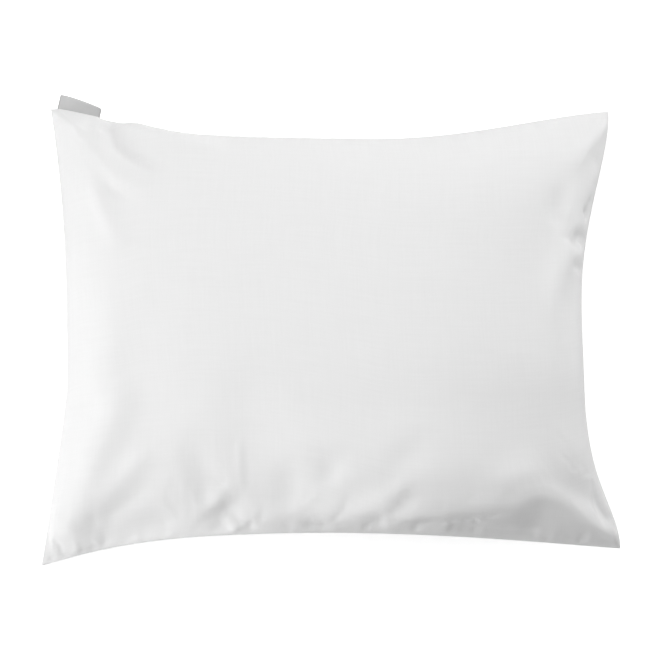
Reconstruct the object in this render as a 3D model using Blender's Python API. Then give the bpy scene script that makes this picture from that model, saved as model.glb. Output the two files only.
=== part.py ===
"""A white percale pillowcase, filled by its pillow and lying on its back, as a Blender model in metres.

The case is cut from one strip of cloth, folded at both short ends and sewn along both long edges. The pillow
crowns its faces, draws its four sides in and leaves the corners as pointed ears. A folded woven tab is sewn
into the top seam by the left corner.

X runs along the long side, Y up the face and Z away from the ground. The origin is on the ground, under the
middle of the part's box.
"""

import math
from collections import namedtuple

import bmesh
import bpy
from mathutils import Vector

# Crown: how far each face stands off the seam at the middle of the case. The ground stops the back.
FRONT_RISE = 0.079
BACK_DROP = 0.088
# How far in from its edge a face is level, and how it turns over there. An end turns over in a full round, as a
# fold does, and a seamed edge in a crease.
ACROSS_LEVEL, ACROSS_ROUND = 3.2, 0.54
UP_LEVEL, UP_ROUND = 2.8, 0.62
# The back rolls onto the ground over this height.
GROUND_ROLL = 0.006

# The mesh of one face. CROWDING draws the grid's lines towards the edges, where the cloth turns and folds.
COLUMNS, ROWS = 54, 44
CROWDING = 0.62
MERGE = 0.00001

# Corner tips: x, y and height above the ground.
CORNERS = {
    "bottom_left": Vector((-0.3209, -0.2607, 0.030)),
    "bottom_right": Vector((0.3195, -0.2507, 0.034)),
    "top_left": Vector((-0.3113, 0.2426, 0.044)),
    "top_right": Vector((0.3209, 0.2429, 0.046)),
}

# Each edge between two corners. bow is how far the filled pillow draws it in, deepest is where, from -1 at its
# start to 1 at its end. start_hold and end_hold keep it drawn in towards that end, flare straightens it into
# the ear, and lift raises its middle above the line between the corners.
Edge = namedtuple("Edge", "start end inward bow deepest start_hold end_hold flare lift")
EDGES = {
    "bottom": Edge("bottom_left", "bottom_right", Vector((0, 1, 0)), 0.0266, -0.16, 3.80, 1.85, 1.37, 0.020),
    "top": Edge("top_left", "top_right", Vector((0, -1, 0)), 0.0318, 0.06, 3.40, 2.40, 1.83, 0.012),
    "left": Edge("bottom_left", "top_left", Vector((1, 0, 0)), 0.0251, -0.25, 1.30, 2.00, 0.95, 0.018),
    "right": Edge("bottom_right", "top_right", Vector((-1, 0, 0)), 0.0397, 0.00, 4.00, 2.55, 1.92, 0.016),
}

# Main folds of the front face: the line that each runs along, its half width, and its height, which is
# negative for a trough. The list runs from corner to corner, clockwise from the top left.
Fold = namedtuple("Fold", "name x0 y0 x1 y1 half_width height")
FRONT_FOLDS = (
    Fold("top_left_trough", -0.276, 0.228, -0.196, 0.130, 0.021, -0.0055),
    Fold("top_left_ridge", -0.288, 0.200, -0.225, 0.105, 0.018, 0.0030),
    Fold("top_left_low_trough", -0.268, 0.150, -0.212, 0.062, 0.020, -0.0035),
    Fold("top_right_ridge", 0.314, 0.234, 0.262, 0.168, 0.019, 0.0050),
    Fold("top_right_trough", 0.305, 0.205, 0.288, 0.140, 0.015, -0.0050),
    Fold("right_end_pucker", 0.293, 0.128, 0.268, 0.122, 0.014, -0.0040),
    Fold("right_end_low_pucker", 0.288, 0.090, 0.255, 0.082, 0.014, -0.0040),
    Fold("right_end_long_trough", 0.280, 0.055, 0.248, 0.020, 0.017, -0.0030),
    Fold("bottom_right_end_trough", 0.294, -0.193, 0.262, -0.145, 0.018, -0.0060),
    Fold("bottom_right_ridge", 0.316, -0.246, 0.235, -0.178, 0.019, 0.0090),
    Fold("bottom_right_trough", 0.285, -0.246, 0.205, -0.208, 0.021, -0.0085),
    Fold("bottom_right_low_trough", 0.195, -0.224, 0.080, -0.220, 0.018, -0.0050),
    Fold("bottom_middle_trough", 0.010, -0.220, 0.082, -0.172, 0.017, -0.0040),
    Fold("bottom_middle_ridge", -0.006, -0.206, 0.030, -0.132, 0.017, 0.0030),
    Fold("bottom_dip", -0.030, -0.192, -0.012, -0.158, 0.016, -0.0030),
    Fold("bottom_oblique_ridge", -0.093, -0.190, -0.114, -0.226, 0.014, 0.0050),
    Fold("bottom_oblique_trough", -0.112, -0.180, -0.152, -0.222, 0.014, -0.0070),
    Fold("bottom_left_faint_trough", -0.140, -0.170, -0.200, -0.194, 0.018, -0.0030),
    Fold("bottom_left_long_trough", -0.200, -0.152, -0.268, -0.226, 0.018, -0.0055),
    Fold("bottom_left_end_trough", -0.234, -0.110, -0.262, -0.185, 0.018, -0.0045),
    Fold("bottom_left_ear_trough", -0.268, -0.205, -0.288, -0.242, 0.015, -0.0060),
)
# Folds fade out within this distance of an edge, so that both faces share one line there.
FOLD_FADE = 0.014

# The tab: the ribbon that shows beyond the seam. It is taller at its left end, because it is sewn in askew.
TAB_LEFT, TAB_RIGHT = -0.3038, -0.2570
TAB_LEFT_HEIGHT, TAB_RIGHT_HEIGHT = 0.0181, 0.0105
TAB_LEAN = 0.24  # its sides lean to the right by this much of their height
TAB_ARCH = 0.0012  # its free edge bows out by this much
TAB_THICKNESS = 0.0014
TAB_COLUMNS = 8
SEAT_GAP = 0.0003


def clear_scene():
    for old in list(bpy.data.objects):
        bpy.data.objects.remove(old)


def finish(name, colour, roughness, sheen=0.0):
    """A Principled BSDF for one sub-part; colour is linear."""
    material = bpy.data.materials.new(name)
    material.use_nodes = True
    shader = material.node_tree.nodes["Principled BSDF"]
    shader.inputs["Base Color"].default_value = (*colour, 1.0)
    shader.inputs["Roughness"].default_value = roughness
    shader.inputs["Sheen Weight"].default_value = sheen
    shader.inputs["Metallic"].default_value = 0.0
    return material


def place(name, bm, material):
    mesh = bpy.data.meshes.new(name)
    bm.to_mesh(mesh)
    bm.free()
    mesh.materials.append(material)
    obj = bpy.data.objects.new(name, mesh)
    bpy.context.scene.collection.objects.link(obj)
    return obj


def edge_point(edge, along):
    """The point at along, 0 to 1, of one edge of the case: its seam line, or its fold line at a short end."""
    start, end = CORNERS[edge.start], CORNERS[edge.end]
    where = 2 * along - 1
    if where < edge.deepest:
        share, hold = (edge.deepest - where) / (edge.deepest + 1), edge.start_hold
    else:
        share, hold = (where - edge.deepest) / (1 - edge.deepest), edge.end_hold
    drawn_in = edge.bow * max(0.0, 1 - share**hold) ** edge.flare
    height = edge.lift * (1 - where**2)
    return start.lerp(end, along) + edge.inward * drawn_in + Vector((0, 0, height))


def seam_surface(s, t):
    """The level between the two faces, blended from the four edges. s and t run from -1 to 1 across and up."""
    u, v = (s + 1) / 2, (t + 1) / 2
    low, high = edge_point(EDGES["bottom"], u), edge_point(EDGES["top"], u)
    left, right = edge_point(EDGES["left"], v), edge_point(EDGES["right"], v)
    lower = CORNERS["bottom_left"].lerp(CORNERS["bottom_right"], u)
    upper = CORNERS["top_left"].lerp(CORNERS["top_right"], u)
    return low.lerp(high, v) + left.lerp(right, u) - lower.lerp(upper, v)


def crown(s, t):
    """How much of its full height a face has at s and t: 0 on the edges and 1 at the middle."""
    across = max(0.0, 1 - abs(s) ** ACROSS_LEVEL) ** ACROSS_ROUND
    up = max(0.0, 1 - abs(t) ** UP_LEVEL) ** UP_ROUND
    return across * up


def crowded(position):
    """Moves a grid line at -1 to 1 towards the nearer edge."""
    return position * (1 + CROWDING * (1 - position**2) / 2)


def on_ground(height):
    """The height at which the ground holds a point of the back, with a soft roll onto the flat."""
    if height > GROUND_ROLL:
        return height
    return max(0.0, height + GROUND_ROLL) ** 2 / (4 * GROUND_ROLL)


def smooth_step(share):
    share = min(1.0, max(0.0, share))
    return share * share * (3 - 2 * share)


def fold_height(fold, x, y):
    """The height that one fold adds at a plan point: a soft ridge or trough that runs out at both ends."""
    start, end = Vector((fold.x0, fold.y0)), Vector((fold.x1, fold.y1))
    line = end - start
    offset = Vector((x, y)) - start
    along = offset.dot(line) / line.length_squared
    nearest = min(1.0, max(0.0, along))
    away = (offset - line * nearest).length / fold.half_width
    return fold.height * math.exp(-(away**2))


def split_towards_corners(bm):
    """Cuts each square of a new grid along the diagonal that runs with the folds of its own corner.

    The two faces of the case then share no triangle at the corner's tip.
    """
    for square in list(bm.faces):
        middle = square.calc_center_median()
        side = math.copysign(1, middle.x * middle.y)
        outwards = sorted(square.verts, key=lambda vert: vert.co.x + side * vert.co.y)
        bmesh.utils.face_split(square, outwards[0], outwards[-1])


def make_face(bm, rise, facing):
    """One face of the case as a grid, facing up (1) or down (-1). Returns each vertex's place across and up."""
    bmesh.ops.create_grid(bm, x_segments=COLUMNS, y_segments=ROWS, size=1.0)
    split_towards_corners(bm)
    if facing < 0:
        bmesh.ops.reverse_faces(bm, faces=bm.faces)
    placed = {}
    for vert in bm.verts:
        s, t = crowded(vert.co.x), crowded(vert.co.y)
        vert.co = seam_surface(s, t) + Vector((0, 0, facing * rise * crown(s, t)))
        placed[vert] = (s, t)
    return placed


def add_folds(bm, placed, folds):
    """Raises the folds along the face's own normals, fading out at the case's edges."""
    bm.normal_update()
    half_width, half_height = CORNERS["top_right"].x, CORNERS["top_right"].y
    moves = {}
    for vert, (s, t) in placed.items():
        inside = min((1 - abs(s)) * half_width, (1 - abs(t)) * half_height)
        height = sum(fold_height(fold, vert.co.x, vert.co.y) for fold in folds)
        moves[vert] = vert.normal * height * smooth_step(inside / FOLD_FADE)
    for vert, move in moves.items():
        vert.co += move


def join(bm, other):
    """Adds the other bmesh's geometry to bm, and frees the other."""
    mesh = bpy.data.meshes.new("joined")
    other.to_mesh(mesh)
    other.free()
    bm.from_mesh(mesh)
    bpy.data.meshes.remove(mesh)


def build_pillowcase(material):
    """The filled case: a crowned front, and a back that the ground flattens."""
    bm = bmesh.new()
    for vert in make_face(bm, BACK_DROP, -1):
        vert.co.z = on_ground(vert.co.z)
    front = bmesh.new()
    add_folds(front, make_face(front, FRONT_RISE, 1), FRONT_FOLDS)
    join(bm, front)
    bmesh.ops.remove_doubles(bm, verts=bm.verts, dist=MERGE)
    for face in bm.faces:
        face.smooth = True
    return place("pillowcase", bm, material)


def build_label_tab(material):
    """The folded woven tab, standing out of the top seam. Its sewn edge follows the seam at SEAT_GAP."""
    first, last = CORNERS["top_left"].x, CORNERS["top_right"].x
    bm = bmesh.new()
    bmesh.ops.create_cube(bm, size=1.0)
    across = [edge for edge in bm.edges if edge.verts[0].co.x != edge.verts[1].co.x]
    bmesh.ops.subdivide_edges(bm, edges=across, cuts=TAB_COLUMNS - 1)
    for vert in bm.verts:
        along, out = vert.co.x + 0.5, vert.co.y + 0.5
        x = TAB_LEFT + (TAB_RIGHT - TAB_LEFT) * along
        seam = edge_point(EDGES["top"], (x - first) / (last - first))
        height = TAB_LEFT_HEIGHT + (TAB_RIGHT_HEIGHT - TAB_LEFT_HEIGHT) * along
        reach = (height + TAB_ARCH * 4 * along * (1 - along)) * out
        vert.co = seam + Vector((TAB_LEAN * reach, SEAT_GAP + reach, vert.co.z * TAB_THICKNESS))
    return place("label_tab", bm, material)


clear_scene()
build_pillowcase(finish("white_percale", (0.86, 0.86, 0.86), 0.85, sheen=0.2))
build_label_tab(finish("grey_woven_ribbon", (0.50, 0.50, 0.50), 0.75))
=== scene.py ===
"""The looks of a filled white percale pillowcase that lies on its back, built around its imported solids.

Everything is in metres, with X along the long side, Y up the face and Z away from the floor.
"""

import math
from collections import namedtuple

import bmesh
import bpy
from mathutils import Matrix, Vector, noise


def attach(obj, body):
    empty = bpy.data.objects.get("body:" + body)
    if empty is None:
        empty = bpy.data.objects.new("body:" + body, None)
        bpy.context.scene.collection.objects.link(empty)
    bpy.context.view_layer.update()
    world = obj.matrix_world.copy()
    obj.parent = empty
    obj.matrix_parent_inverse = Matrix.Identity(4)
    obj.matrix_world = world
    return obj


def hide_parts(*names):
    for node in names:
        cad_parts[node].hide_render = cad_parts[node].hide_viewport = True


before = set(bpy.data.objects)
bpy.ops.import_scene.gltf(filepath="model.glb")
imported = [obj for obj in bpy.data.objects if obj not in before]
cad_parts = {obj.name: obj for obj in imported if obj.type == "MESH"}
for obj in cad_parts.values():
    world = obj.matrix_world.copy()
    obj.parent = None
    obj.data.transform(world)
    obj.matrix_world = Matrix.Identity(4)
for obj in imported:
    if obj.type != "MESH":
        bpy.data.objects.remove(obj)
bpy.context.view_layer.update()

# ---------------------------------------------------------------------------------------------------------
# The case: one strip of white percale cotton, folded at both short ends and sewn along both long edges, then
# turned and filled. The filling crowns both faces and draws the four sides in. It sits high by the bottom
# seam and to the right, so the cloth turns down steeply there and gently by the lower left corner.
# ---------------------------------------------------------------------------------------------------------
MM = 0.001
CUT_WIDTH, CUT_HEIGHT = 0.660, 0.510
FRONT_RISE, BACK_DROP = 0.079, 0.088
GROUND_ROLL = 0.006
COLUMNS, ROWS = 240, 192
CROWDING = 0.62
MERGE = 0.00001

CORNERS = {
    "bottom_left": Vector((-0.3191, -0.2615, 0.030)),
    "bottom_right": Vector((0.3195, -0.2521, 0.034)),
    "top_left": Vector((-0.3116, 0.2452, 0.044)),
    "top_right": Vector((0.3216, 0.2431, 0.046)),
}
# The edges: how far each is drawn in and where, how firmly its ends hold it out, how it flares into them, its
# lift, and how many millimetres it stands off an even arch at four even places from its start to its end.
# A fitting program worked these out from the photograph, and the corners, but for all lifts and heights.
Edge = namedtuple("Edge", "start end inward bow deepest start_hold end_hold flare lift set_off")
X_AXIS, Y_AXIS = Vector((1, 0, 0)), Vector((0, 1, 0))
EDGES = {
    "bottom": Edge(
        "bottom_left", "bottom_right", Y_AXIS, 0.0277, -0.18, 3.07, 1.74, 1.12, 0.020, (-11, 10, 16, -7)
    ),
    "top": Edge(
        "top_left", "top_right", -Y_AXIS, 0.0334, 0.18, 4.10, 1.72, 1.43, 0.012, (4, -11, -7, -2)
    ),
    "left": Edge(
        "bottom_left", "top_left", X_AXIS, 0.0239, -0.25, 1.06, 2.27, 0.97, 0.018, (-9, -16, -11, -2)
    ),
    "right": Edge(
        "bottom_right", "top_right", -X_AXIS, 0.0388, -0.18, 3.26, 2.79, 1.91, 0.016, (15, -5, -16, -5)
    ),
}
# How a face comes up from each edge, at four even places along it. A high level makes a broad flat crown, and
# a low round makes a steep flank. The front's numbers are a fitting program's, and the back's are guessed.
Flank = namedtuple("Flank", "levels rounds")
FRONT_FLANKS = {
    "bottom": Flank((2.0, 2.0, 5.8, 5.3), (1.02, 1.11, 0.46, 0.73)),
    "top": Flank((3.1, 2.7, 2.6, 2.5), (0.58, 0.40, 0.58, 0.64)),
    "left": Flank((2.0, 2.0, 3.3, 3.1), (0.60, 0.63, 0.45, 0.52)),
    "right": Flank((3.9, 4.5, 3.2, 2.8), (0.61, 0.44, 0.51, 0.59)),
}
BACK_LONG, BACK_SHORT = Flank((2.8,) * 4, (0.62,) * 4), Flank((3.2,) * 4, (0.54,) * 4)
BACK_FLANKS = {"bottom": BACK_LONG, "top": BACK_LONG, "left": BACK_SHORT, "right": BACK_SHORT}
FLANK_BLEND = 0.4
# The layers of the tab's ribbon hold the top seam up a little, from the left corner to the tab's other side.
TAB_SWELL, SWELL_TURN, SWELL_END = 0.0017, 0.012, -0.250

# Folds and creases of the front, in millimetres: a smooth curve through some points, the half width at its
# start and its end, its height, which is negative for a trough, and the share of it that its two ends keep.
# The folds began as lines placed one by one. A fitting program then worked out nearly all the points, widths
# and heights here from the photograph's shading, so this table isn't a design set by hand.
Fold = namedtuple("Fold", "points first_width last_width height start_share end_share")
FRONT_FOLDS = {
    "top_left_ear_rise": Fold(((-304, 231), (-285, 220), (-268, 214)), 9.9, 10.1, 5.1, 0.5, 0),
    "top_left_trough": Fold(
        ((-259, 221), (-243, 214), (-233, 192), (-197, 168), (-176, 175)),
        10.1, 14.2, -9.0, 0.3, 0,
    ),
    "top_left_ridge": Fold(
        ((-276, 206), (-253, 179), (-235, 155), (-201, 139), (-176, 136)), 8.5, 11.6, 3.6, 0.3, 0
    ),
    "top_left_inner_trough": Fold(
        ((-262, 183), (-248, 150), (-224, 131), (-196, 128)), 10.4, 10.8, -3.0, 0.3, 0
    ),
    "top_left_flank_ridge": Fold(
        ((-266, 180), (-255, 140), (-246, 114), (-230, 85), (-221, 73)),
        8.3, 14.8, 4.8, 0.3, 0,
    ),
    "top_left_edge_trough": Fold(((-284, 179), (-279, 131), (-269, 83)), 9.4, 10.0, -2.0, 0, 0),
    "top_left_seam_ridge": Fold(
        ((-249, 228), (-226, 220), (-196, 207), (-140, 194), (-104, 203)),
        5.8, 14.4, 9.0, 0.3, 0,
    ),
    "top_right_ridge": Fold(
        ((316, 225), (302, 209), (287, 192), (270, 173), (252, 163)), 8.6, 15.5, 4.7, 1, 0
    ),
    "top_right_trough": Fold(((306, 195), (307, 178), (301, 164)), 7.6, 6.9, -2.4, 0, 0),
    "right_ridge": Fold(
        ((296, 164), (282, 146), (268, 115), (272, 82), (259, 72), (240, 21), (243, -18), (254, -61)),
        16.0, 13.3, 7.0, 0.3, 0,
    ),
    "right_inner_trough": Fold(((256, 158), (250, 117), (256, 90)), 12.4, 9.6, -4.6, 0, 0),
    "right_end_pucker": Fold(((296, 133), (292, 122), (283, 116)), 6.9, 9.2, -8.6, 0.5, 0),
    "right_end_low_pucker": Fold(((287, 89), (276, 90), (268, 64)), 9.3, 9.5, -9.0, 1, 0),
    "right_end_third_pucker": Fold(((287, 54), (274, 59), (272, 51)), 6.2, 7.8, -2.4, 1, 0),
    "right_end_fourth_pucker": Fold(((284, 40), (279, 41), (271, 29)), 5.6, 6.5, -0.3, 0.3, 0),
    "left_ridge": Fold(
        ((-260, 52), (-244, 7), (-250, -60), (-239, -88), (-259, -139), (-268, -173), (-287, -214)),
        24.2, 26.0, 9.0, 0, 1,
    ),
    "left_ear_ridge": Fold(((-282, -226), (-279, -243), (-284, -252)), 6.1, 4.6, 2.5, 0, 1),
    "left_side_trough": Fold(((-210, -88), (-217, -117), (-228, -138), (-243, -158)), 9.3, 9.3, -0.3, 0, 0),
    "left_oblique_ridge": Fold(
        ((-200, -129), (-214, -153), (-242, -182), (-264, -202)), 12.8, 13.5, 3.8, 0, 0.3
    ),
    "left_long_trough": Fold(
        ((-198, -156), (-208, -184), (-237, -203), (-245, -217), (-247, -239)),
        8.1, 9.7, -1.3, 0, 0.8,
    ),
    "left_hollow": Fold(((-226, -224), (-193, -218), (-160, -219)), 13.7, 15.5, -3.9, 0.5, 0),
    "broad_trough": Fold(((-166, -120), (-142, -167), (-130, -201)), 19.0, 16.9, -4.6, 0, 0),
    "oblique_ridge": Fold(((-110, -175), (-127, -193), (-140, -206)), 5.9, 5.6, 0.5, 0, 0),
    "oblique_trough": Fold(
        ((-106, -172), (-111, -199), (-122, -218), (-126, -227)), 14.1, 12.0, -5.7, 0, 0.5
    ),
    "oblique_tail": Fold(((-122, -205), (-139, -215), (-155, -230)), 7.0, 8.4, -1.7, 0.4, 0.3),
    "small_mound": Fold(((-111, -232), (-109, -225), (-105, -216)), 5.4, 5.5, 3.1, 0.5, 0),
    "small_dip": Fold(((-94, -224), (-92, -222), (-92, -211)), 6.1, 6.0, -2.6, 0.5, 0),
    "low_ridge": Fold(((-95, -205), (-78, -211), (-24, -206), (1, -215)), 8.0, 9.5, 1.9, 0, 0.3),
    "middle_left_dip": Fold(((-51, -150), (-49, -182), (-36, -206)), 18.9, 16.2, -3.4, 0, 0),
    "middle_dip": Fold(((-4, -135), (-9, -165), (-5, -187)), 17.9, 12.8, -3.3, 0, 0),
    "small_low_dip": Fold(((-41, -217), (-17, -228), (-10, -215)), 5.8, 7.6, -4.6, 0, 0),
    "streak_ridge": Fold(
        ((-1, -207), (13, -211), (49, -198), (59, -189), (86, -168)), 14.8, 9.2, 5.4, 0.5, 0
    ),
    "middle_hollow": Fold(((100, -122), (75, -151), (37, -173)), 18.5, 15.2, -2.1, 0, 0),
    "band_ridge": Fold(
        (
            (59, -226), (58, -221), (88, -207), (112, -209), (160, -204), (184, -203),
            (208, -194), (226, -195), (253, -208), (290, -235), (315, -235),
        ),
        11.1, 13.1, 4.6, 0.3, 1,
    ),
    "band_hollow": Fold(
        ((114, -229), (129, -230), (192, -243), (216, -230), (241, -201)), 13.5, 17.2, -6.1, 0, 0
    ),
    "right_valley": Fold(((242, -152), (269, -185), (290, -200), (304, -212)), 29.9, 24.1, -9.0, 0, 0.8),
    "right_end_ridge": Fold(((252, -112), (256, -138), (264, -164)), 9.5, 7.0, 0.9, 0, 0.3),
    "band_start_ridge": Fold(((54, -216), (64, -212), (85, -212), (129, -213)), 9.1, 6.7, 4.5, 0.4, 0),
    "band_upper_rise": Fold(((136, -188), (193, -175), (227, -155)), 16.7, 20.6, 4.5, 0, 0),
    "right_valley_foot": Fold(((292, -180), (294, -213), (305, -233)), 5.8, 6.4, -4.0, 0.3, 0.3),
    "lower_right_tip_ridge": Fold(
        ((262, -198), (293, -217), (306, -230), (315, -243)), 8.0, 7.0, 1.5, 0, 1
    ),
    "lower_left_edge_rise": Fold(((-292, -205), (-285, -220), (-269, -232)), 9.4, 9.0, 1.8, 0.3, 0.3),
    "lower_left_tip_dip": Fold(((-300, -237), (-296, -247)), 5.3, 5.5, -1.6, 0.5, 0.5),
    "lower_left_dip": Fold(((-263, -200), (-261, -212), (-255, -224)), 7.9, 7.9, -1.5, 0.2, 0.2),
    "lower_left_small_ridge": Fold(((-260, -239), (-258, -232)), 5.2, 5.3, 1.1, 0.5, 0.5),
    "lower_left_small_dip": Fold(((-247, -240), (-251, -230)), 4.5, 4.5, -0.7, 0.5, 0.5),
    "hollow_by_oblique": Fold(((-152, -179), (-141, -192), (-139, -203)), 9.4, 8.3, -2.3, 0.2, 0.2),
    "hollow_over_oblique": Fold(((-130, -170), (-117, -183)), 8.3, 7.2, -1.6, 0.3, 0.3),
    "mound_side_ridge": Fold(((-119, -214), (-113, -222)), 4.5, 4.6, 1.6, 0.5, 0.5),
    "mound_side_dip": Fold(((-112, -208), (-104, -215), (-98, -220)), 4.5, 4.5, -2.1, 0.3, 0.3),
    "streak_dip": Fold(((57, -179), (54, -192), (61, -202)), 7.7, 6.7, -1.3, 0.2, 0.2),
    "streak_foot_ridge": Fold(((41, -203), (52, -208), (55, -219)), 5.0, 5.4, 1.4, 0.2, 0.3),
    "right_end_upper_ridge": Fold(((304, 182), (300, 161), (296, 134)), 6.6, 6.5, 0.3, 0.2, 0.3),
    "right_end_pucker_ridge": Fold(((285, 99), (280, 88), (277, 80)), 6.5, 6.5, 1.6, 0.3, 0.3),
    "right_end_pucker_dip": Fold(((292, 70), (282, 69), (272, 66)), 6.0, 6.0, -0.6, 0.3, 0.2),
}
# Sharp creases that ironing and folding left in the cloth.
PRESSED_CREASES = {
    "left_short_crease": Fold(((-102.5, -126), (-103, -150), (-101.5, -176)), 4.0, 4.0, 1.2, 0.3, 0.6),
    "left_long_crease": Fold(((-101, 70), (-102, 0), (-102, -100)), 3.0, 3.0, -0.2, 0.3, 0.3),
    "right_long_crease": Fold(((134, 150), (122, 67), (118, -93), (120, -186)), 3.0, 3.0, 0.3, 0.3, 0.3),
}
# The back isn't seen in the photograph. Its folds are those that a filled case gets where its corners pull.
BACK_FOLDS = {
    "lower_left_pull": Fold(
        ((-296, -238), (-262, -205), (-222, -186), (-180, -160)), 8.0, 13.0, -5.0, 0.4, 0
    ),
    "lower_left_roll": Fold(((-298, -214), (-270, -176), (-246, -140)), 9.0, 12.0, 4.5, 0.3, 0),
    "lower_right_pull": Fold(((298, -236), (266, -208), (236, -176), (204, -158)), 8.0, 12.0, -4.5, 0.5, 0),
    "lower_right_roll": Fold(((276, -238), (232, -216), (184, -208)), 8.0, 12.0, 4.0, 0.3, 0),
    "upper_right_pull": Fold(((300, 226), (262, 196), (226, 172)), 7.0, 11.0, -5.0, 0.4, 0),
    "upper_right_roll": Fold(((304, 204), (280, 160), (262, 116)), 8.0, 12.0, 4.0, 0.3, 0),
    "upper_left_pull": Fold(((-292, 226), (-250, 198), (-214, 164)), 8.0, 12.0, -5.0, 0.5, 0),
    "upper_left_roll": Fold(((-264, 230), (-214, 212), (-160, 206)), 8.0, 12.0, 3.5, 0.3, 0),
    "upper_seam_roll": Fold(((-60, 205), (-8, 196), (52, 202)), 9.0, 9.0, 2.0, 0, 0),
    "lower_seam_roll": Fold(((-96, -226), (-40, -214), (30, -220)), 9.0, 9.0, 2.5, 0, 0),
    "right_end_pull": Fold(((282, 38), (262, 26), (236, 24)), 7.0, 9.0, -3.0, 0.5, 0),
    "left_end_pull": Fold(((-290, -62), (-268, -48), (-238, -50)), 7.0, 9.0, -3.0, 0.5, 0),
}
FOLD_STEPS = 5
FOLD_TAPER = 0.45
FOLD_REACH = 2.6
FOLD_FADE = 0.010


def smooth_step(share):
    share = min(1.0, max(0.0, share))
    return share * share * (3 - 2 * share)


def at_place(values, position):
    """The value at a position from -1 to 1, out of values at even places, with a soft turn at each."""
    reach = (position + 1) / 2 * (len(values) - 1)
    index = min(len(values) - 2, max(0, int(reach)))
    share = smooth_step(reach - index)
    return values[index] * (1 - share) + values[index + 1] * share


def edge_point(edge, along):
    """The point at along, 0 to 1, of one edge of the case: its seam line, or its fold line at a short end."""
    start, end = CORNERS[edge.start], CORNERS[edge.end]
    where = 2 * along - 1
    if where < edge.deepest:
        share, hold = (edge.deepest - where) / (edge.deepest + 1), edge.start_hold
    else:
        share, hold = (where - edge.deepest) / (1 - edge.deepest), edge.end_hold
    drawn_in = edge.bow * max(0.0, 1 - share**hold) ** edge.flare
    height = edge.lift * (1 - where**2) + at_place(edge.set_off, where) * MM * (1 - where**4)
    point = start.lerp(end, along) + edge.inward * drawn_in + Vector((0, 0, height))
    if edge is EDGES["top"]:
        rising, falling = (point.x - start.x) / SWELL_TURN, (SWELL_END - point.x) / SWELL_TURN
        point.y += TAB_SWELL * smooth_step(rising) * smooth_step(falling)
    return point


def seam_surface(s, t):
    """The level between the faces, blended from the four edges. s and t run from -1 to 1 across and up."""
    u, v = (s + 1) / 2, (t + 1) / 2
    low, high = edge_point(EDGES["bottom"], u), edge_point(EDGES["top"], u)
    left, right = edge_point(EDGES["left"], v), edge_point(EDGES["right"], v)
    lower = CORNERS["bottom_left"].lerp(CORNERS["bottom_right"], u)
    upper = CORNERS["top_left"].lerp(CORNERS["top_right"], u)
    return low.lerp(high, v) + left.lerp(right, u) - lower.lerp(upper, v)


def flank(position, beside, first, last):
    """How far up a face has come at a position from -1 to 1 between two edges, 0 on them and 1 between."""
    share = smooth_step((position + FLANK_BLEND) / (2 * FLANK_BLEND))
    level = at_place(first.levels, beside) * (1 - share) + at_place(last.levels, beside) * share
    rounding = at_place(first.rounds, beside) * (1 - share) + at_place(last.rounds, beside) * share
    return max(0.0, 1 - abs(position) ** level) ** rounding


def crown(s, t, flanks):
    """How much of its full height a face has at s and t: 0 on the edges and 1 at the middle."""
    return flank(s, t, flanks["left"], flanks["right"]) * flank(t, s, flanks["bottom"], flanks["top"])


def crowded(position):
    """Moves a grid line at -1 to 1 towards the nearer edge, where the cloth turns and folds."""
    return position * (1 + CROWDING * (1 - position**2) / 2)


def on_ground(height):
    """The height at which the ground holds a point of the back, with a soft roll onto the flat."""
    if height > GROUND_ROLL:
        return height
    return max(0.0, height + GROUND_ROLL) ** 2 / (4 * GROUND_ROLL)


def fold_path(fold):
    """The points of a fold's smooth curve, each with its half width and its share of the fold's height."""
    corners = [Vector(point) * MM for point in fold.points]
    corners = [2 * corners[0] - corners[1], *corners, 2 * corners[-1] - corners[-2]]
    places = []
    for before, start, end, after in zip(corners, corners[1:], corners[2:], corners[3:]):
        for step in range(FOLD_STEPS):
            u = step / FOLD_STEPS
            bend = (2 * before - 5 * start + 4 * end - after) * u**2
            bend += (3 * start - before - 3 * end + after) * u**3
            places.append((2 * start + (end - before) * u + bend) / 2)
    places.append(corners[-2])
    path = []
    for index, place in enumerate(places):
        u = index / (len(places) - 1)
        width = (fold.first_width * (1 - u) + fold.last_width * u) * MM
        kept, away = (fold.start_share, u) if u < 0.5 else (fold.end_share, 1 - u)
        path.append((place, width, kept + (1 - kept) * smooth_step(away / FOLD_TAPER)))
    return path


def fold_height(path, place):
    """The share of a fold's height at a place in plan."""
    nearest, height = None, 0.0
    for (start, first_width, first_share), (end, last_width, last_share) in zip(path, path[1:]):
        line = end - start
        u = min(1.0, max(0.0, (place - start).dot(line) / line.length_squared))
        away = (place - start - line * u).length
        if nearest is None or away < nearest:
            width = first_width + (last_width - first_width) * u
            share = first_share + (last_share - first_share) * u
            nearest, height = away, share * math.exp(-((away / width) ** 2))
    return height


def add_folds(bm, places, folds):
    """Raises the folds along the face's own normals, fading out at the case's edges."""
    bm.normal_update()
    rises = {}
    for fold in folds.values():
        path = fold_path(fold)
        reach = FOLD_REACH * max(fold.first_width, fold.last_width) * MM
        across, up = [point.x for point, _, _ in path], [point.y for point, _, _ in path]
        low_x, high_x = min(across) - reach, max(across) + reach
        low_y, high_y = min(up) - reach, max(up) + reach
        for vert in places:
            if low_x < vert.co.x < high_x and low_y < vert.co.y < high_y:
                rises[vert] = rises.get(vert, 0.0) + fold.height * MM * fold_height(path, vert.co.xy)
    moves = []
    for vert, rise in rises.items():
        s, t = places[vert]
        inside = min((1 - abs(s)) * CUT_WIDTH, (1 - abs(t)) * CUT_HEIGHT) / 2
        moves.append((vert, vert.normal * rise * smooth_step(inside / FOLD_FADE)))
    for vert, move in moves:
        vert.co += move


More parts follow.
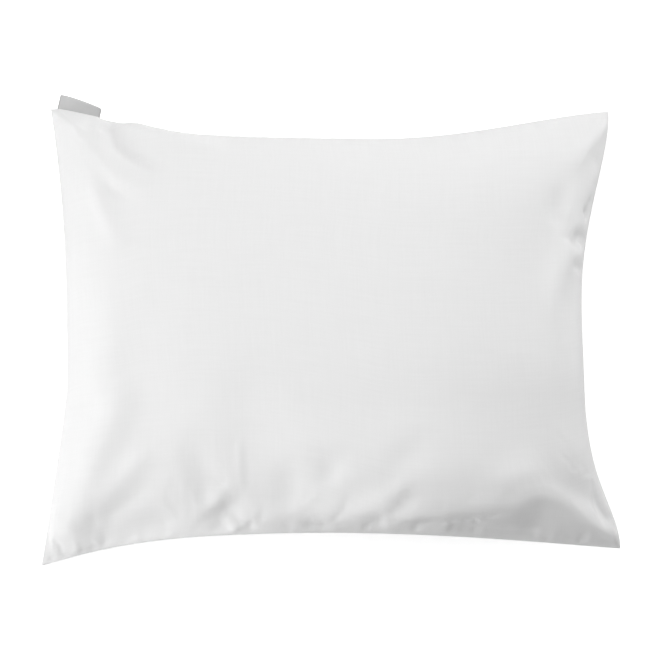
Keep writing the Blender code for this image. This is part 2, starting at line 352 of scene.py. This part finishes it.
# What the cloth keeps of its making: soft unevenness all over, and short puckers that the stitches draw in
# beside the two long seams.
UNEVEN_SIZES, UNEVEN_HEIGHT = (0.034, 0.015), 0.0004
PUCKER_SIZE, PUCKER_REACH, PUCKER_HEIGHT = 0.0095, 0.005, 0.0011
PUCKER_SLANT, PUCKER_LAYER = 9, 3
FADE_HEAD_START = 0.3
FRONT_LAYER, BACK_LAYER = 10.0, 50.0


def add_unevenness(bm, places, layer):
    """Moves the cloth a little along its normals. Each layer of the noise is another pattern."""
    bm.normal_update()
    moves = []
    for vert, (s, t) in places.items():
        from_seam = (1 - abs(t)) * CUT_HEIGHT / 2
        inside = min((1 - abs(s)) * CUT_WIDTH / 2, from_seam)
        at = Vector((vert.co.x, vert.co.y, layer))
        rise = UNEVEN_HEIGHT * sum(size * noise.noise(at / size) for size in UNEVEN_SIZES) / sum(UNEVEN_SIZES)
        beside = from_seam / PUCKER_REACH
        pucker_layer = layer + math.copysign(PUCKER_LAYER, t)
        pucker = noise.noise(Vector((vert.co.x / PUCKER_SIZE, beside / PUCKER_SLANT, pucker_layer)))
        rise += PUCKER_HEIGHT * pucker * beside * math.exp(1 - beside)
        moves.append((vert, vert.normal * rise * smooth_step(inside / FOLD_FADE + FADE_HEAD_START)))
    for vert, move in moves:
        if 1.0 not in (abs(places[vert][0]), abs(places[vert][1])):
            vert.co += move


def make_face(rise, flanks, facing):
    """One face of the case, facing up (1) or down (-1), as a grid that crowds towards its edges."""
    bm = bmesh.new()
    bmesh.ops.create_grid(bm, x_segments=COLUMNS, y_segments=ROWS, size=1.0)
    if facing < 0:
        bmesh.ops.reverse_faces(bm, faces=bm.faces)
    places = {}
    for vert in bm.verts:
        s, t = crowded(vert.co.x), crowded(vert.co.y)
        places[vert] = (s, t)
        vert.co = seam_surface(s, t) + Vector((0, 0, facing * rise * crown(s, t, flanks)))
    return bm, places


# The cloth then takes up the filling's pressure. It is cut a little slack, so it buckles into small creases
# by its held edges, as real cloth does. The middle of each face stays as smooth as it is.
SETTLE_FRAMES, SETTLE_QUALITY = 20, 5
CLOTH_WEIGHT, CLOTH_STIFFNESS, CLOTH_SHEAR, CLOTH_BENDING = 0.3, 15, 5, 0.2
FILLING_PRESSURE = 4
SLACK = 0.004
SETTLE_REACH = 0.10
FRONT_SETTLE, BACK_SETTLE, MIDDLE_SHARE = 0.0008, 0.006, 0.1
HELD_HEIGHT = 0.0004


def settle(bm, places, most_move):
    """Runs Blender's Cloth on a face, held at its edges and where it lies down, and caps its moves."""
    mesh = bpy.data.meshes.new("settling")
    bm.to_mesh(mesh)
    obj = bpy.data.objects.new("settling", mesh)
    bpy.context.scene.collection.objects.link(obj)
    held = obj.vertex_groups.new(name="held")
    for index, vert in enumerate(bm.verts):
        if 1.0 in (abs(places[vert][0]), abs(places[vert][1])) or vert.co.z < HELD_HEIGHT:
            held.add([index], 1.0, "REPLACE")
    cloth = obj.modifiers.new("cloth", "CLOTH")
    cloth.settings.vertex_group_mass = held.name
    cloth.settings.quality = SETTLE_QUALITY
    cloth.settings.mass = CLOTH_WEIGHT
    cloth.settings.tension_stiffness = CLOTH_STIFFNESS
    cloth.settings.compression_stiffness = CLOTH_STIFFNESS
    cloth.settings.shear_stiffness = CLOTH_SHEAR
    cloth.settings.bending_stiffness = CLOTH_BENDING
    cloth.settings.shrink_min = -SLACK
    cloth.settings.use_pressure = True
    cloth.settings.uniform_pressure_force = FILLING_PRESSURE
    cloth.settings.effector_weights.gravity = 0
    cloth.collision_settings.use_collision = False
    cloth.point_cache.frame_end = SETTLE_FRAMES
    for frame_number in range(1, SETTLE_FRAMES + 1):
        bpy.context.scene.frame_set(frame_number)
    settled = obj.evaluated_get(bpy.context.evaluated_depsgraph_get()).data.vertices
    for vert, end in zip(bm.verts, settled):
        s, t = places[vert]
        inside = min((1 - abs(s)) * CUT_WIDTH, (1 - abs(t)) * CUT_HEIGHT) / 2
        limit = most_move * (1 - (1 - MIDDLE_SHARE) * smooth_step(inside / SETTLE_REACH))
        move = end.co - vert.co
        if move.length > 0:
            vert.co += move * (limit * math.tanh(move.length / limit) / move.length)
    bpy.data.objects.remove(obj)
    bpy.data.meshes.remove(mesh)
    bpy.context.scene.frame_set(1)


def lengths_along(lines, cut_length):
    """Each vertex's place along its grid line, in metres of cut cloth from the middle of the line."""
    along = {}
    for line in lines:
        steps = [(b.co - a.co).length for a, b in zip(line, line[1:])]
        reach, total = 0.0, sum(steps)
        for vert, step in zip(line, [*steps, 0.0]):
            along[vert] = (reach / total - 0.5) * cut_length
            reach += step
    return along


def add_cut_map(bm, places, facing):
    """Lays the cloth out flat as the UV map "cut", in metres, with the back beside the front."""
    order = sorted(places, key=lambda vert: places[vert])
    columns = [order[start : start + ROWS + 1] for start in range(0, len(order), ROWS + 1)]
    across = lengths_along(zip(*columns), CUT_WIDTH)
    up = lengths_along(columns, CUT_HEIGHT)
    uv = bm.loops.layers.uv.new("cut")
    for face in bm.faces:
        for loop in face.loops:
            loop[uv].uv = (across[loop.vert] + (1 - facing) * CUT_WIDTH / 2, up[loop.vert])


def join(bm, other):
    """Adds the other bmesh's geometry to bm, and frees the other."""
    mesh = bpy.data.meshes.new("joined")
    other.to_mesh(mesh)
    other.free()
    bm.from_mesh(mesh)
    bpy.data.meshes.remove(mesh)


def place(name, bm, material):
    mesh = bpy.data.meshes.new(name)
    bm.to_mesh(mesh)
    bm.free()
    mesh.materials.append(material)
    obj = bpy.data.objects.new(name, mesh)
    bpy.context.scene.collection.objects.link(obj)
    return obj


def linear(code):
    """An sRGB hex colour as the linear colour that a shader takes."""
    channels = [int(code[start : start + 2], 16) / 255 for start in (0, 2, 4)]
    return [c / 12.92 if c <= 0.04045 else ((c + 0.055) / 1.055) ** 2.4 for c in channels] + [1.0]


def add_node(tree, kind, settings, links):
    """Adds a node, with its settings and what feeds its inputs, each by name or by the input's number."""
    node = tree.nodes.new(kind)
    for name, value in settings.items():
        if isinstance(name, int) or name in node.inputs:
            node.inputs[name].default_value = value
        else:
            setattr(node, name, value)
    for name, socket in links.items():
        tree.links.new(socket, node.inputs[name])
    return node


# Percale has about three threads to the millimetre. They are drawn four times as coarse here, because the
# real ones are too fine to show. A slub is a thicker stretch of a thread, some centimetres long.
THREAD_PITCH = 0.0013
THREAD_RELIEF = 0.00005
SLUB_WIDTH, SLUB_LENGTH, SLUB_SHARE = 0.0022, 0.060, 0.25
SLUB_RANGE = (0.6, 1.4)
SLUB_DETAIL, SLUB_FINENESS = 3.0, 0.6
PERCALE_SHADE, PERCALE_LIGHT = "E9E9E9", "ECECEC"
PERCALE_ROUGHNESS, SLUB_ROUGHNESS = 0.95, 0.85
PERCALE_SPECULAR, PERCALE_SHEEN = 0.25, 0.1


def percale():
    """Bleached cotton percale, plain woven: matt and even, with a grain of crossing threads, a few slubs that
    catch the light as faint streaks along and across the cloth, and a weak sheen of fibre ends."""
    material = bpy.data.materials.new("bleached_cotton_percale")
    material.use_nodes = True
    tree = material.node_tree
    shader = tree.nodes["Principled BSDF"]
    shader.inputs["Specular IOR Level"].default_value = PERCALE_SPECULAR
    shader.inputs["Sheen Weight"].default_value = PERCALE_SHEEN
    cut = add_node(tree, "ShaderNodeUVMap", {"uv_map": "cut"}, {}).outputs["UV"]
    to_angle = {"operation": "SCALE", "Scale": math.pi / THREAD_PITCH}
    turns = add_node(tree, "ShaderNodeVectorMath", to_angle, {0: cut})
    waves = add_node(tree, "ShaderNodeVectorMath", {"operation": "SINE"}, {0: turns.outputs["Vector"]})
    wave = add_node(tree, "ShaderNodeSeparateXYZ", {}, {0: waves.outputs["Vector"]})
    crossings = add_node(
        tree, "ShaderNodeMath", {"operation": "MULTIPLY"}, {0: wave.outputs["X"], 1: wave.outputs["Y"]}
    )
    threads = add_node(tree, "ShaderNodeMath", {"operation": "ABSOLUTE"}, {0: crossings.outputs[0]})
    slubs = []
    for width, length in ((SLUB_WIDTH, SLUB_LENGTH), (SLUB_LENGTH, SLUB_WIDTH)):
        stretch = {"Scale": (1 / width, 1 / length, 1)}
        stretched = add_node(tree, "ShaderNodeMapping", stretch, {"Vector": cut})
        settings = {"noise_dimensions": "2D", "Scale": 1.0, "Detail": SLUB_DETAIL, "Roughness": SLUB_FINENESS}
        slubs.append(add_node(tree, "ShaderNodeTexNoise", settings, {"Vector": stretched.outputs["Vector"]}))
    slub = add_node(
        tree, "ShaderNodeMath", {"operation": "ADD"}, {0: slubs[0].outputs["Fac"], 1: slubs[1].outputs["Fac"]}
    )
    raised = {"operation": "MULTIPLY_ADD", 1: SLUB_SHARE}
    relief = add_node(tree, "ShaderNodeMath", raised, {0: slub.outputs[0], 2: threads.outputs[0]})
    bump = add_node(tree, "ShaderNodeBump", {"Distance": THREAD_RELIEF}, {"Height": relief.outputs[0]})
    spread = {"From Min": SLUB_RANGE[0], "From Max": SLUB_RANGE[1]}
    tone = add_node(
        tree, "ShaderNodeMapRange", {**spread, "To Min": 0.0, "To Max": 1.0}, {"Value": slub.outputs[0]}
    )
    shades = {"data_type": "RGBA", 6: linear(PERCALE_SHADE), 7: linear(PERCALE_LIGHT)}
    colour = add_node(tree, "ShaderNodeMix", shades, {0: tone.outputs["Result"]})
    spread.update({"To Min": PERCALE_ROUGHNESS, "To Max": SLUB_ROUGHNESS})
    roughness = add_node(tree, "ShaderNodeMapRange", spread, {"Value": slub.outputs[0]})
    tree.links.new(colour.outputs[2], shader.inputs["Base Color"])
    tree.links.new(roughness.outputs["Result"], shader.inputs["Roughness"])
    tree.links.new(bump.outputs["Normal"], shader.inputs["Normal"])
    return material


back, back_places = make_face(BACK_DROP, BACK_FLANKS, -1)
add_folds(back, back_places, BACK_FOLDS)
add_unevenness(back, back_places, BACK_LAYER)
for vert in back.verts:
    vert.co.z = on_ground(vert.co.z)
settle(back, back_places, BACK_SETTLE)
for vert in back.verts:
    vert.co.z = max(0.0, vert.co.z)
front, front_places = make_face(FRONT_RISE, FRONT_FLANKS, 1)
add_folds(front, front_places, FRONT_FOLDS)
add_unevenness(front, front_places, FRONT_LAYER)
settle(front, front_places, FRONT_SETTLE)
add_folds(front, front_places, PRESSED_CREASES)
add_cut_map(back, back_places, -1)
add_cut_map(front, front_places, 1)
join(back, front)
bmesh.ops.remove_doubles(back, verts=back.verts, dist=MERGE)
for face in back.faces:
    face.smooth = True
case = place("percale_case", back, percale())
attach(case, "root")
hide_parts("pillowcase")

# ---------------------------------------------------------------------------------------------------------
# The tab: a short length of grey woven polyester ribbon. It is folded double over its top edge, and both its
# ends are sewn into the top seam by the left corner. They are sewn in askew, so its left side stands higher.
# ---------------------------------------------------------------------------------------------------------
TAB_LEFT, TAB_RIGHT = -0.3045, -0.2570
TAB_LEFT_HEIGHT, TAB_RIGHT_HEIGHT = 0.0159, 0.0099
TAB_LEAN = 0.24
TAB_ARCH = 0.0008
TAB_TURN = 0.0005
TAB_FOOT = 0.002
TAB_COLUMNS, TAB_ROWS = 24, 8
TURN_SIDE = 0.6
TAB_WIDTH, TAB_LENGTH = 0.047, 0.034
TAPE_THICKNESS = 0.0003

# The tape's ribs are drawn twice as coarse as real ones, which are too fine to show.
RIB_PITCH = 0.0011
RIB_RELIEF = 0.00012
CROSS_SHARE = 0.4
SELVEDGE = 0.0016
# A band along the tape's fold is painted lighter: a painted highlight where the tape turns over.
FOLD_HIGHLIGHT_BAND = 0.0022
TAPE_SHADE, TAPE_LIGHT, TAPE_SELVEDGE, TAPE_FOLD_HIGHLIGHT = "C2C2C2", "D2D2D2", "B8B8B8", "DEDEDE"
TAPE_ROUGHNESS, RIB_ROUGHNESS = 0.68, 0.52


def ribbon():
    """Woven polyester tape: grey and fine ribbed, with a slight gloss. It is a little darker at its
    selvedges. A painted highlight makes it lighter along its fold, where the tape turns over."""
    material = bpy.data.materials.new("grey_woven_ribbon")
    material.use_nodes = True
    tree = material.node_tree
    shader = tree.nodes["Principled BSDF"]
    tape = add_node(tree, "ShaderNodeUVMap", {"uv_map": "tape"}, {}).outputs["UV"]
    centred = add_node(tree, "ShaderNodeVectorMath", {"operation": "ABSOLUTE"}, {0: tape})
    away = add_node(tree, "ShaderNodeSeparateXYZ", {}, {0: centred.outputs["Vector"]})
    to_angle = {"operation": "SCALE", "Scale": math.tau / RIB_PITCH}
    turns = add_node(tree, "ShaderNodeVectorMath", to_angle, {0: tape})
    waves = add_node(tree, "ShaderNodeVectorMath", {"operation": "SINE"}, {0: turns.outputs["Vector"]})
    wave = add_node(tree, "ShaderNodeSeparateXYZ", {}, {0: waves.outputs["Vector"]})
    crossed = {"operation": "MULTIPLY_ADD", 1: CROSS_SHARE}
    ribs = add_node(tree, "ShaderNodeMath", crossed, {0: wave.outputs["X"], 2: wave.outputs["Y"]})
    edges = []
    selvedge_start, selvedge_end = TAB_WIDTH / 2 - SELVEDGE, TAB_WIDTH / 2 - SELVEDGE / 2
    for axis, low, high in (("X", selvedge_start, selvedge_end), ("Y", FOLD_HIGHLIGHT_BAND, 0.0)):
        settings = {"From Min": low, "From Max": high, "To Min": 0.0, "To Max": 1.0}
        edges.append(add_node(tree, "ShaderNodeMapRange", settings, {"Value": away.outputs[axis]}))
    spread = {"From Min": -1 - CROSS_SHARE, "From Max": 1 + CROSS_SHARE}
    tone = add_node(
        tree, "ShaderNodeMapRange", {**spread, "To Min": 0.0, "To Max": 1.0}, {"Value": ribs.outputs[0]}
    )
    shades = {"data_type": "RGBA", 6: linear(TAPE_SHADE), 7: linear(TAPE_LIGHT)}
    colour = add_node(tree, "ShaderNodeMix", shades, {0: tone.outputs["Result"]})
    # A darker tone at the selvedges, then the painted highlight along the fold.
    for over, share in ((TAPE_SELVEDGE, edges[0]), (TAPE_FOLD_HIGHLIGHT, edges[1])):
        links = {0: share.outputs["Result"], 6: colour.outputs[2]}
        colour = add_node(tree, "ShaderNodeMix", {"data_type": "RGBA", 7: linear(over)}, links)
    spread.update({"To Min": TAPE_ROUGHNESS, "To Max": RIB_ROUGHNESS})
    roughness = add_node(tree, "ShaderNodeMapRange", spread, {"Value": ribs.outputs[0]})
    bump = add_node(tree, "ShaderNodeBump", {"Distance": RIB_RELIEF}, {"Height": ribs.outputs[0]})
    tree.links.new(colour.outputs[2], shader.inputs["Base Color"])
    tree.links.new(roughness.outputs["Result"], shader.inputs["Roughness"])
    tree.links.new(bump.outputs["Normal"], shader.inputs["Normal"])
    return material


def make_tab():
    """The ribbon from its sewn edge, over its fold and back, in rows that run along the seam."""
    rising = [out / TAB_ROWS for out in range(TAB_ROWS)]
    rows = [(out, 1.0) for out in rising] + [(1.0, TURN_SIDE), (1.0, -TURN_SIDE)]
    rows += [(out, -1.0) for out in reversed(rising)]
    bm = bmesh.new()
    tape = bm.loops.layers.uv.new("tape")
    bmesh.ops.create_grid(bm, x_segments=TAB_COLUMNS, y_segments=len(rows) - 1, size=0.5)
    first, last = CORNERS["top_left"].x, CORNERS["top_right"].x
    for face in bm.faces:
        for loop in face.loops:
            out, side = rows[round((loop.vert.co.y + 0.5) * (len(rows) - 1))]
            from_fold = (1 - out) * TAB_LENGTH / 2 + abs(abs(side) - 1) * TAB_TURN
            loop[tape].uv = (loop.vert.co.x * TAB_WIDTH, math.copysign(from_fold, side))
    for vert in bm.verts:
        along = vert.co.x + 0.5
        out, side = rows[round((vert.co.y + 0.5) * (len(rows) - 1))]
        x = TAB_LEFT + (TAB_RIGHT - TAB_LEFT) * along
        seam = edge_point(EDGES["top"], (x - first) / (last - first))
        height = TAB_LEFT_HEIGHT + (TAB_RIGHT_HEIGHT - TAB_LEFT_HEIGHT) * along
        reach = (height + TAB_ARCH * 4 * along * (1 - along)) * out
        vert.co = seam + Vector((TAB_LEAN * reach, reach - TAB_FOOT * (1 - out), side * TAB_TURN))
    for face in bm.faces:
        face.smooth = True
    return place("woven_tab", bm, ribbon())


tab = make_tab()
thickness = tab.modifiers.new("thickness", "SOLIDIFY")
thickness.thickness = TAPE_THICKNESS
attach(tab, "root")
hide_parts("label_tab")

# ---------------------------------------------------------------------------------------------------------
# The studio: white background paper on the floor, soft boxes around and over the case, and the camera at the
# photograph's angle. The paper and the backdrop are made to show near white, as in the photograph.
# ---------------------------------------------------------------------------------------------------------
CAMERA_TARGET = Vector((-0.0017, -0.0070, 0.050))
CAMERA_DISTANCE = 1.73
CAMERA_TILT, CAMERA_YAW, CAMERA_ROLL = math.radians(7.0), math.radians(3.5), math.radians(-0.8)
CAMERA_LENS, CAMERA_SENSOR = 85, 36
FLOOR_SIZE = 12
WHITE = linear("FFFFFF")
AMBIENT, BACKDROP_GLOW = 0.1, 0.85

world = bpy.data.worlds.new("studio")
world.use_nodes = True
world.node_tree.nodes["Background"].inputs["Color"].default_value = WHITE
backdrop = add_node(world.node_tree, "ShaderNodeLightPath", {}, {})
backdrop_glow = {"operation": "MULTIPLY_ADD", 1: BACKDROP_GLOW, 2: AMBIENT}
brightness = add_node(
    world.node_tree, "ShaderNodeMath", backdrop_glow, {0: backdrop.outputs["Is Camera Ray"]}
)
world.node_tree.links.new(brightness.outputs[0], world.node_tree.nodes["Background"].inputs["Strength"])
bpy.context.scene.world = world
bpy.context.scene.view_settings.view_transform = "Standard"

# Background paper: matt and even. It glows a little to the camera alone, so that it shows near white.
PAPER_COLOUR, PAPER_ROUGHNESS, PAPER_GLOW = linear("F9F9F9"), 0.9, 0.5
paper = bpy.data.materials.new("white_paper")
paper.use_nodes = True
paper_shader = paper.node_tree.nodes["Principled BSDF"]
paper_shader.inputs["Base Color"].default_value = PAPER_COLOUR
paper_shader.inputs["Roughness"].default_value = PAPER_ROUGHNESS
paper_shader.inputs["Emission Color"].default_value = WHITE
seen = add_node(paper.node_tree, "ShaderNodeLightPath", {}, {})
paper_glow = {"operation": "MULTIPLY", 1: PAPER_GLOW}
glow = add_node(paper.node_tree, "ShaderNodeMath", paper_glow, {0: seen.outputs["Is Camera Ray"]})
paper.node_tree.links.new(glow.outputs[0], paper_shader.inputs["Emission Strength"])
floor_shape = bmesh.new()
bmesh.ops.create_grid(floor_shape, x_segments=1, y_segments=1, size=FLOOR_SIZE / 2)
floor = place("floor", floor_shape, paper)

# Each lamp: where it stands, how big it is, and its power. All of them face the middle of the case. A fitting
# program picked most of the places and powers.
Lamp = namedtuple("Lamp", "x y z size power")
LAMPS = {
    "near_left_softbox": Lamp(-1.71, -0.99, 0.72, 1.2, 23.4),
    "overhead_left_softbox": Lamp(-0.47, -0.27, 2.03, 1.2, 2.9),
    "overhead_softbox": Lamp(-0.27, 0.47, 2.03, 1.2, 21.1),
    "far_left_softbox": Lamp(-1.71, 0.99, 0.72, 1.2, 1.5),
    "far_softbox": Lamp(0.0, 1.97, 0.72, 1.2, 10.7),
    "right_low_softbox": Lamp(1.71, 0.99, 0.72, 1.2, 10.0),
    "right_softbox": Lamp(1.97, 0.0, 0.72, 1.2, 7.6),
}
for name, lamp in LAMPS.items():
    light = bpy.data.lights.new(name, "AREA")
    light.size = lamp.size
    light.energy = lamp.power
    obj = bpy.data.objects.new(name, light)
    obj.location = (lamp.x, lamp.y, lamp.z)
    obj.rotation_euler = (-Vector(obj.location)).to_track_quat("-Z", "Y").to_euler()
    bpy.context.scene.collection.objects.link(obj)

back_axis = Vector((-math.sin(CAMERA_YAW), -math.sin(CAMERA_TILT), 0))
back_axis.z = math.sqrt(1 - back_axis.length_squared)
right_axis = Vector((0, 1, 0)).cross(back_axis).normalized()
up_axis = back_axis.cross(right_axis)
roll = Matrix.Rotation(CAMERA_ROLL, 3, back_axis)
camera_data = bpy.data.cameras.new("camera")
camera_data.lens = CAMERA_LENS
camera_data.sensor_width = CAMERA_SENSOR
camera = bpy.data.objects.new("camera", camera_data)
axes = Matrix((roll @ right_axis, roll @ up_axis, back_axis)).transposed()
camera_place = CAMERA_TARGET + back_axis * CAMERA_DISTANCE
camera.matrix_world = Matrix.LocRotScale(camera_place, axes.to_quaternion(), None)
bpy.context.scene.collection.objects.link(camera)
bpy.context.scene.camera = camera
